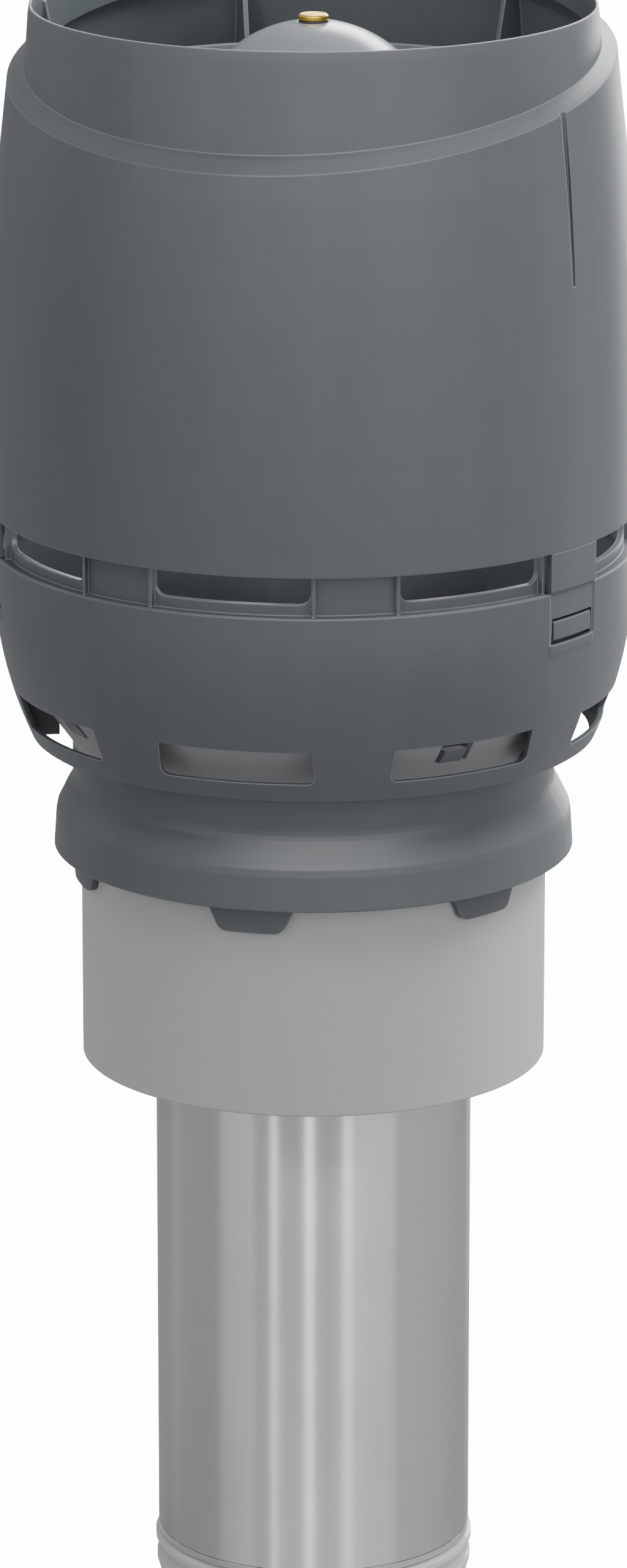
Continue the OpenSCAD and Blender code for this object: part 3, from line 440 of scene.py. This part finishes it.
# %% Finish table
finishes = {
    duct_steel: ["duct_pipe"],
    spigot_steel: ["spigot_end"],
    seal_rubber: ["lip_seal"],
    jacket_plastic: ["jacket_shell", "jacket_end_ring"],
    insulation_fibre: ["insulation_core"],
    slate_plastic: ["roof_collar", "tab_ring", "bowl", "hood", "latch_right", "latch_left",
                    "latch_rear_right", "latch_rear_left"],
    black_rubber: ["collar_seal", "duct_seal", "dome_washer"],
    funnel_plastic: ["drain_funnel"],
    inner_plastic: ["drain_clips", "baffle_ring"],
    dark_plastic: ["rain_cone", "nozzle"],
    zinc_plate: ["bridge", "cone_screws", "bridge_screws", "stud", "stud_nuts", "stud_washers"],
    tube_aluminium: ["spacer_tube"],
    dome_plastic: ["dome"],
    nut_brass: ["brass_nut"],
}
for material, names in finishes.items():
    for name in names:
        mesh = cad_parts[name].data
        mesh.materials.clear()
        mesh.materials.append(material)
print("finished", sum(len(names) for names in finishes.values()), "nodes")

# %% [markdown]
# ## The thread on the stud
# The solid stud is a plain bar. A real one carries a thread of 1.25 mm pitch from end to end. It could
# be a spiral swept round a core, but that leaves hidden faces inside. Here a finely divided cylinder is
# pushed in by a triangle wave that climbs one pitch for each turn, which keeps one closed skin.

# %% Geometry Nodes: threaded bar
THREAD_PITCH = 1.25 * MM
THREAD_DEPTH = 0.6 * MM


def close_tree(tree, end, geometry, finish):
    """Ends a Geometry Nodes tree: instances become real meshes, and all of it gets its material."""
    realized = feed(tree, add(tree, "GeometryNodeRealizeInstances"), Geometry=geometry)
    painted = feed(tree, add(tree, "GeometryNodeSetMaterial"), Geometry=realized.outputs[0],
                   Material=finish)
    join(tree, painted.outputs[0], end.inputs["Geometry"])


def threaded_bar_tree():
    """A bar whose side is pushed in along a spiral."""
    tree, start, end = open_tree(
        "threaded bar", "GeometryNodeTree",
        [("Radius", FLOAT, 4.0 * MM), ("Depth", FLOAT, THREAD_DEPTH), ("Pitch", FLOAT, THREAD_PITCH),
         ("Low", FLOAT, 0.0), ("Length", FLOAT, 100.0 * MM), ("Sides", INTEGER, 20),
         ("Rows per pitch", FLOAT, 6.0), ("Finish", MATERIAL, None)],
        [("Geometry", GEOMETRY)])
    given = start.outputs
    rows = math(tree, "MULTIPLY", math(tree, "DIVIDE", given["Length"], given["Pitch"]),
                given["Rows per pitch"])
    bar = feed(tree, add(tree, "GeometryNodeMeshCylinder", fill_type="NGON"), Vertices=given["Sides"],
               Side_Segments=rows, Radius=given["Radius"], Depth=given["Length"])
    place = add(tree, "GeometryNodeInputPosition")
    parts = add(tree, "ShaderNodeSeparateXYZ")
    join(tree, place.outputs[0], parts.inputs[0])
    turn = math(tree, "DIVIDE", math(tree, "ARCTAN2", parts.outputs["Y"], parts.outputs["X"]), tau)
    climb = math(tree, "DIVIDE", parts.outputs["Z"], given["Pitch"])
    # The wave rises from 0 to 1 in half a turn and falls back in the other half.
    wave = math(tree, "MULTIPLY", math(tree, "PINGPONG", math(tree, "SUBTRACT", climb, turn), 0.5), 2.0)
    inwards = math(tree, "MULTIPLY", math(tree, "SUBTRACT", wave, 1.0), given["Depth"])
    shrink = math(tree, "ADD", math(tree, "DIVIDE", inwards, given["Radius"]), 1.0)
    lift = math(tree, "ADD", given["Low"], math(tree, "DIVIDE", given["Length"], 2.0))
    moved = vector(tree, x=math(tree, "MULTIPLY", parts.outputs["X"], shrink),
                   y=math(tree, "MULTIPLY", parts.outputs["Y"], shrink),
                   z=math(tree, "ADD", parts.outputs["Z"], lift))
    pushed = feed(tree, add(tree, "GeometryNodeSetPosition"), Geometry=bar.outputs["Mesh"],
                  Position=moved)
    smooth = feed(tree, add(tree, "GeometryNodeSetShadeSmooth"), Geometry=pushed.outputs[0],
                  Shade_Smooth=True)
    close_tree(tree, end, smooth.outputs[0], given["Finish"])
    return tree


thread_tree = threaded_bar_tree()
print("made", thread_tree.name)

# %% [markdown]
# A tree runs on a carrier object that holds nothing itself. Its inputs are set by their identifiers, its
# result is copied to a plain mesh, and the carrier goes. The plain mesh is what rides on the body.

# %% Grow the thread


def grow(name, tree, body, **values):
    """Runs a Geometry Nodes tree, and keeps its result as a plain mesh that rides on the body."""
    carrier = bpy.data.objects.new(name + "_carrier", bpy.data.meshes.new(name + "_carrier"))
    bpy.context.scene.collection.objects.link(carrier)
    modifier = carrier.modifiers.new("grow", "NODES")
    modifier.node_group = tree
    sockets = {item.name: item.identifier for item in tree.interface.items_tree
               if item.in_out == "INPUT"}
    for label, value in values.items():
        modifier[sockets[label.replace("_", " ")]] = value
    evaluated = carrier.evaluated_get(bpy.context.evaluated_depsgraph_get())
    mesh = bpy.data.meshes.new_from_object(evaluated)
    mesh.name = name
    bpy.data.objects.remove(carrier)
    piece = bpy.data.objects.new(name, mesh)
    bpy.context.scene.collection.objects.link(piece)
    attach(piece, body)
    print(name, "has", len(mesh.polygons), "faces")
    return piece


stud_thread = grow("stud_thread", thread_tree, "base", Radius=stud_high.x, Low=stud_low.z,
                   Length=stud_high.z - stud_low.z, Finish=zinc_plate)
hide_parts("stud")

# %% [markdown]
# ## Screws set in a ring
# Six screws hold cone, funnel and collar together, and three hold the bridge. One screw is built from a
# shank, a flat head and a low dome, and a cross is cut into it. Instances then place it round a circle,
# each turned by its own seeded amount, as a screwdriver leaves them. The dome is a hair narrower than
# the head and sits a hair low in it, because faces that coincide would confuse the union.

# %% Geometry Nodes: one screw
RIM_SHARE = 0.45
DOME_WIDTH = 0.999
DOME_SEAT = 0.98
CROSS_WIDTH = 0.2
CROSS_LENGTH = 1.15
HEAD_SIDES = 32
SHANK_SIDES = 20


def lifted(tree, geometry, height):
    """Moves a shape up by a height."""
    return feed(tree, add(tree, "GeometryNodeTransform"), Geometry=geometry,
                Translation=vector(tree, z=height)).outputs[0]


def screw_body(tree, given):
    """A shank, a flat head and a low dome as one solid, with the head's seat at height 0."""
    head_r, head_h = given["Head radius"], given["Head height"]
    rim_h = math(tree, "MULTIPLY", head_h, RIM_SHARE)
    half_rim = math(tree, "MULTIPLY", rim_h, 0.5)
    rim = feed(tree, add(tree, "GeometryNodeMeshCylinder"), Vertices=HEAD_SIDES, Radius=head_r,
               Depth=rim_h)
    ball = feed(tree, add(tree, "GeometryNodeMeshUVSphere"), Segments=HEAD_SIDES,
                Rings=HEAD_SIDES // 2, Radius=math(tree, "MULTIPLY", head_r, DOME_WIDTH))
    flatness = math(tree, "DIVIDE", math(tree, "SUBTRACT", head_h, rim_h), head_r)
    low_ball = feed(tree, add(tree, "GeometryNodeTransform"), Geometry=ball.outputs["Mesh"],
                    Scale=vector(tree, x=1.0, y=1.0, z=flatness))
    dome_seat = math(tree, "MULTIPLY", rim_h, DOME_SEAT)
    shank = feed(tree, add(tree, "GeometryNodeMeshCylinder"), Vertices=SHANK_SIDES,
                 Radius=given["Shank radius"], Depth=given["Shank length"])
    shank_middle = math(tree, "ADD", math(tree, "MULTIPLY", given["Shank length"], -0.5), half_rim)
    solid = add(tree, "GeometryNodeMeshBoolean", operation="UNION", solver="EXACT")
    join(tree, lifted(tree, rim.outputs["Mesh"], half_rim), solid.inputs["Mesh 2"])
    join(tree, lifted(tree, low_ball.outputs[0], dome_seat), solid.inputs["Mesh 2"])
    join(tree, lifted(tree, shank.outputs["Mesh"], shank_middle), solid.inputs["Mesh 2"])
    return solid.outputs["Mesh"]


def cut_cross(tree, given, body):
    """Cuts a cross into the top of the head, measured in head radii."""
    head_r, head_h = given["Head radius"], given["Head height"]
    narrow = math(tree, "MULTIPLY", head_r, CROSS_WIDTH)
    long = math(tree, "MULTIPLY", head_r, CROSS_LENGTH)
    cut = add(tree, "GeometryNodeMeshBoolean", operation="DIFFERENCE", solver="EXACT")
    join(tree, body, cut.inputs["Mesh 1"])
    for across, along in ((long, narrow), (narrow, long)):
        block = feed(tree, add(tree, "GeometryNodeMeshCube"), Size=vector(tree, across, along, head_h))
        join(tree, lifted(tree, block.outputs["Mesh"], head_h), cut.inputs["Mesh 2"])
    return cut.outputs["Mesh"]


print("a screw's head has", HEAD_SIDES, "sides")

# %% Geometry Nodes: ring of screws
MOST_TURN = pi / 2


def screw_ring_tree():
    """Equal screws round the Z axis, each with its own turn."""
    tree, start, end = open_tree(
        "ring of screws", "GeometryNodeTree",
        [("Count", INTEGER, 6), ("Ring radius", FLOAT, 100.0 * MM), ("First angle", FLOAT, 0.0),
         ("Seat", FLOAT, 0.0), ("Shank radius", FLOAT, 2.0 * MM), ("Shank length", FLOAT, 10.0 * MM),
         ("Head radius", FLOAT, 4.0 * MM), ("Head height", FLOAT, 2.6 * MM), ("Seed", INTEGER, 3),
         ("Finish", MATERIAL, None)],
        [("Geometry", GEOMETRY)])
    given = start.outputs
    screw = cut_cross(tree, given, screw_body(tree, given))
    ring = feed(tree, add(tree, "GeometryNodeMeshCircle"), Vertices=given["Count"],
                Radius=given["Ring radius"])
    placed = feed(tree, add(tree, "GeometryNodeTransform"), Geometry=ring.outputs["Mesh"],
                  Translation=vector(tree, z=given["Seat"]),
                  Rotation=vector(tree, z=given["First angle"]))
    # The first two inputs are the least and the most that a screw is turned.
    random_turn = feed(tree, add(tree, "FunctionNodeRandomValue", data_type="FLOAT_VECTOR"),
                       Seed=given["Seed"])
    random_turn.inputs[0].default_value = (0.0, 0.0, 0.0)
    random_turn.inputs[1].default_value = (0.0, 0.0, MOST_TURN)
    many = feed(tree, add(tree, "GeometryNodeInstanceOnPoints"), Points=placed.outputs[0],
                Instance=screw, Rotation=random_turn.outputs[0])
    close_tree(tree, end, many.outputs[0], given["Finish"])
    return tree


screw_tree = screw_ring_tree()
print("made", screw_tree.name)

# %% [markdown]
# The cone's screws are larger than the bridge's. Both rings start at the back, and each ring's radius is
# read from its node's box: from the outermost edge of a head, one head radius inwards.

# %% Screws of the cone
BACK = pi / 2
CONE_SCREW_COUNT = 6
CONE_SCREW_R = 2.0 * MM
CONE_HEAD_R = 4.0 * MM
CONE_HEAD_H = 2.6 * MM
CONE_SEED = 3
cone_seat = screw_high.z - CONE_HEAD_H
cone_screws = grow("cone_screw_ring", screw_tree, "base", Count=CONE_SCREW_COUNT, First_angle=BACK,
                   Ring_radius=-screw_low.y - CONE_HEAD_R, Seat=cone_seat, Shank_radius=CONE_SCREW_R,
                   Shank_length=cone_seat - screw_low.z, Head_radius=CONE_HEAD_R,
                   Head_height=CONE_HEAD_H, Seed=CONE_SEED, Finish=zinc_plate)
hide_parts("cone_screws")

# %% Screws of the bridge
BRIDGE_SCREW_COUNT = 3
BRIDGE_SCREW_R = 1.5 * MM
BRIDGE_HEAD_R = 2.8 * MM
BRIDGE_HEAD_H = 2.0 * MM
BRIDGE_SEED = 8
bridge_seat = bridge_screw_high.z - BRIDGE_HEAD_H
bridge_screws = grow("bridge_screw_ring", screw_tree, "base", Count=BRIDGE_SCREW_COUNT,
                     First_angle=BACK, Ring_radius=bridge_screw_high.y - BRIDGE_HEAD_R,
                     Seat=bridge_seat, Shank_radius=BRIDGE_SCREW_R,
                     Shank_length=bridge_seat - bridge_screw_low.z, Head_radius=BRIDGE_HEAD_R,
                     Head_height=BRIDGE_HEAD_H, Seed=BRIDGE_SEED, Finish=zinc_plate)
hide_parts("bridge_screws")

# %% [markdown]
# ## Floor
# The picture was taken against white, yet little light comes up from below. One floor can do both: it is
# grey to the light that bounces about, glows for the camera and shows a faint glow in reflections. The
# Light Path node tells the three apart.

# %% Floor
FLOOR_R = 30.0
FLOOR_SIDES = 96
FLOOR_GREY = 0.34
FLOOR_CLOUDS = 1.03
FLOOR_GLOW = 14.0
FLOOR_SHEEN = 0.12


def pale_floor():
    """A wide flat disc under the object."""
    material, tree, shader, place = start_material("pale floor")
    cloud = noise(tree, place, Scale=2.0, Detail=2.0)
    grey = (FLOOR_GREY, FLOOR_GREY, FLOOR_GREY, 1.0)
    join(tree, mix_colour(tree, cloud, grey, shade(grey, FLOOR_CLOUDS)), shader.inputs["Base Color"])
    ray = add(tree, "ShaderNodeLightPath")
    glow = math(tree, "ADD", math(tree, "MULTIPLY", ray.outputs["Is Camera Ray"], FLOOR_GLOW),
                math(tree, "MULTIPLY", ray.outputs["Is Glossy Ray"], FLOOR_SHEEN))
    join(tree, glow, shader.inputs["Emission Strength"])
    shader.inputs["Emission Color"].default_value = WHITE
    shader.inputs["Roughness"].default_value = 0.9
    shader.inputs["Specular IOR Level"].default_value = 0.0
    mesh = bpy.data.meshes.new("floor")
    shape = bmesh.new()
    bmesh.ops.create_circle(shape, cap_ends=True, radius=FLOOR_R, segments=FLOOR_SIDES)
    shape.to_mesh(mesh)
    shape.free()
    mesh.materials.append(material)
    floor = bpy.data.objects.new("floor", mesh)
    bpy.context.scene.collection.objects.link(floor)


pale_floor()
print("floor of radius", FLOOR_R)

# %% [markdown]
# ## Camera
# The camera stands a little to the right of the front and looks down on the hood's mouth from a few
# metres away. Its distance, height and tilt were fitted to the picture: the curve of the rim gives the
# tilt, and the difference between the curves of the rim and of the lower seam gives the distance.

# %% Camera
CAMERA_AZIMUTH = 15.0
CAMERA_DISTANCE = 3.558
CAMERA_HEIGHT = 1.429
CAMERA_PITCH = 15.63
CAMERA_LENS = 168.6
SENSOR = 36.0
CAMERA_REACH = 200.0
camera_data = bpy.data.cameras.new("camera")
camera_data.sensor_fit = "VERTICAL"
camera_data.sensor_height = SENSOR
camera_data.lens = CAMERA_LENS
camera_data.clip_end = CAMERA_REACH
camera = bpy.data.objects.new("camera", camera_data)
azimuth = radians(CAMERA_AZIMUTH)
camera.location = (CAMERA_DISTANCE * sin(azimuth), -CAMERA_DISTANCE * cos(azimuth), CAMERA_HEIGHT)
camera.rotation_euler = (pi / 2 - radians(CAMERA_PITCH), 0.0, azimuth)
bpy.context.scene.collection.objects.link(camera)
bpy.context.scene.camera = camera
print("camera at", [round(value, 3) for value in camera.location])

# %% [markdown]
# ## Light
# Area lights shape the round forms: a broad one from the front right, a weaker one from the front left,
# one from the right and above that reaches into the hood, and one from the front and above for the
# shoulder and the flange. Two behind the object draw its outline. Those two and the one from the right
# and above are matt, which means that no surface mirrors them, so that the steel's edges stay dark.

# %% Area lights
AIM_Z = 0.5


def area_light(name, turn, distance, height, width, tall, power, card=False, matt=False):
    """An area light at the given turn to the camera's right, aimed at the object's middle.
    A card is seen in reflections only, a matt light never."""
    data = bpy.data.lights.new(name, "AREA")
    data.shape = "RECTANGLE"
    data.size = width
    data.size_y = tall
    data.energy = power
    light = bpy.data.objects.new(name, data)
    angle = radians(CAMERA_AZIMUTH + turn)
    light.location = (distance * sin(angle), -distance * cos(angle), height)
    aim = -light.location
    aim.z += AIM_Z
    light.rotation_euler = aim.to_track_quat("-Z", "Y").to_euler()
    light.visible_camera = False
    light.visible_diffuse = not card
    light.visible_glossy = not matt
    bpy.context.scene.collection.objects.link(light)


area_light("key", turn=45.0, distance=3.2, height=1.1, width=1.8, tall=2.4, power=21.5)
area_light("fill", turn=-56.0, distance=3.4, height=1.1, width=1.7, tall=2.4, power=16.5)
area_light("rim right", turn=118.0, distance=2.6, height=1.2, width=0.8, tall=2.2, power=24.0, matt=True)
area_light("rim left", turn=-125.0, distance=2.8, height=1.2, width=0.4, tall=2.2, power=8.0, matt=True)
area_light("top", turn=100.0, distance=1.6, height=2.4, width=1.0, tall=1.0, power=60.0, matt=True)
area_light("front top", turn=2.0, distance=1.4, height=3.1, width=2.8, tall=0.8, power=26.0)
print("area lights:", len(bpy.data.lights))

# %% [markdown]
# Cards do the opposite of matt lights: they light nothing, and only show in reflections. A wide one in
# front and above gives the shoulder and the flange their gloss. One behind is mirrored by the dome, and
# a low one behind on the right by the edges on that side. The steel mirrors four narrow upright strips
# as bright bands.

# %% Cards
area_light("sheen", turn=6.0, distance=2.0, height=2.4, width=3.2, tall=0.5, power=62.0, card=True)
area_light("dome sheen", turn=163.0, distance=2.5, height=1.95, width=1.5, tall=1.0, power=80.0,
           card=True)
area_light("edge sheen", turn=156.0, distance=2.3, height=0.4, width=0.8, tall=0.8, power=16.0,
           card=True)
strips = [
    {"turn": -116.0, "width": 0.4, "power": 4.0},
    {"turn": -28.0, "width": 0.26, "power": 16.0},
    {"turn": -2.8, "width": 0.34, "power": 26.0},
    {"turn": 24.5, "width": 0.44, "power": 22.0},
]
for strip in strips:
    area_light("strip", distance=3.0, height=1.5, tall=3.0, card=True, **strip)
print("cards and area lights:", len(bpy.data.lights))

# %% [markdown]
# The mouth of the hood is deep, and area lights from outside leave its far wall dull. A narrow soft spot
# from the left and above is aimed a little behind the mouth's middle, so that it falls on that wall.

# %% Spot into the mouth
MOUTH_REAR = 0.06
SPOT_TURN = -30.0
SPOT_RISE = radians(45.0)
SPOT_DISTANCE = 2.4
SPOT_CONE = 6.5
SPOT_POWER = 125.0
SPOT_BLEND = 0.4
SPOT_SOFTNESS = 0.15
mouth = Vector((-MOUTH_REAR * sin(azimuth), MOUTH_REAR * cos(azimuth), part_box("hood")[1].z))
spot_angle = radians(CAMERA_AZIMUTH + SPOT_TURN)
spot_reach = SPOT_DISTANCE * cos(SPOT_RISE)
spot_way = Vector((spot_reach * sin(spot_angle), -spot_reach * cos(spot_angle),
                   SPOT_DISTANCE * sin(SPOT_RISE)))
spot_data = bpy.data.lights.new("mouth wall", "SPOT")
spot_data.energy = SPOT_POWER
spot_data.spot_size = radians(SPOT_CONE)
spot_data.spot_blend = SPOT_BLEND
spot_data.shadow_soft_size = SPOT_SOFTNESS
spot = bpy.data.objects.new("mouth wall", spot_data)
spot.location = mouth + spot_way
spot.rotation_euler = (-spot_way).to_track_quat("-Z", "Y").to_euler()
bpy.context.scene.collection.objects.link(spot)
print("spot at", [round(value, 3) for value in spot.location])

# %% [markdown]
# Some daylight gathers between the walls inside and is seen through the windows of the bowl. A ring of
# very weak point lights in there stands for it.

# %% Glow inside the bowl
GLOW_COUNT = 8
GLOW_R = 0.122
GLOW_Z = 0.6
GLOW_POWER = 0.075
GLOW_SOFTNESS = 0.01
for step in range(GLOW_COUNT):
    glow_angle = step * tau / GLOW_COUNT
    glow_data = bpy.data.lights.new("inner glow", "POINT")
    glow_data.energy = GLOW_POWER
    glow_data.shadow_soft_size = GLOW_SOFTNESS
    glow = bpy.data.objects.new("inner glow", glow_data)
    glow.location = (GLOW_R * cos(glow_angle), GLOW_R * sin(glow_angle), GLOW_Z)
    glow.visible_camera = False
    bpy.context.scene.collection.objects.link(glow)
print("inner glows:", GLOW_COUNT)

# %% [markdown]
# The world lights everything weakly and evenly. To the camera alone it glows as the floor does, so that
# floor and wall are one white.

# %% World
WORLD_LIGHT = 0.45
world = bpy.data.worlds.new("studio")
world.use_nodes = True
studio_tree = world.node_tree
background = studio_tree.nodes["Background"]
background.inputs["Color"].default_value = WHITE
seen = add(studio_tree, "ShaderNodeLightPath").outputs["Is Camera Ray"]
wall_glow = math(studio_tree, "ADD", math(studio_tree, "MULTIPLY", seen, FLOOR_GLOW), WORLD_LIGHT)
join(studio_tree, wall_glow, background.inputs["Strength"])
bpy.context.scene.world = world
print("made", world.name)

# %% [markdown]
# ## End

# %% End
print("end of script")
